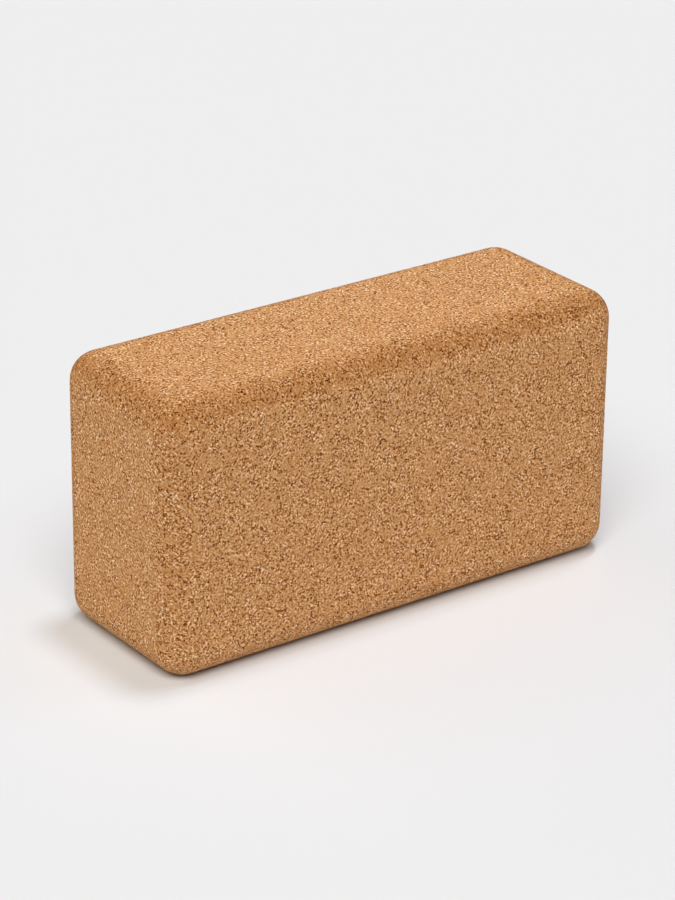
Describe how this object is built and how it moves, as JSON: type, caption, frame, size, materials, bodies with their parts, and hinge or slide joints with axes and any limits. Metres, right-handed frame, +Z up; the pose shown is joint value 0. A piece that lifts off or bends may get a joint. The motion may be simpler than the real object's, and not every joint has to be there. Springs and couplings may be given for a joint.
{
  "type": "yoga block",
  "caption": "Solid rectangular yoga block of pressed cork granules with generously rounded edges, standing on its long narrow face as a firm support for hands, feet or hips.",
  "frame": {"origin": "middle of the long narrow face that the block stands on", "axes": "+X along the length, +Y through the thickness and away from the large face that the picture shows, +Z up the height"},
  "size_m": [0.2286, 0.0826, 0.1207],
  "materials": {
    "pressed_cork": "matte"
  },
  "bodies": {
    "root": {"cork_block": "pressed_cork"}
  },
  "joints": []
}
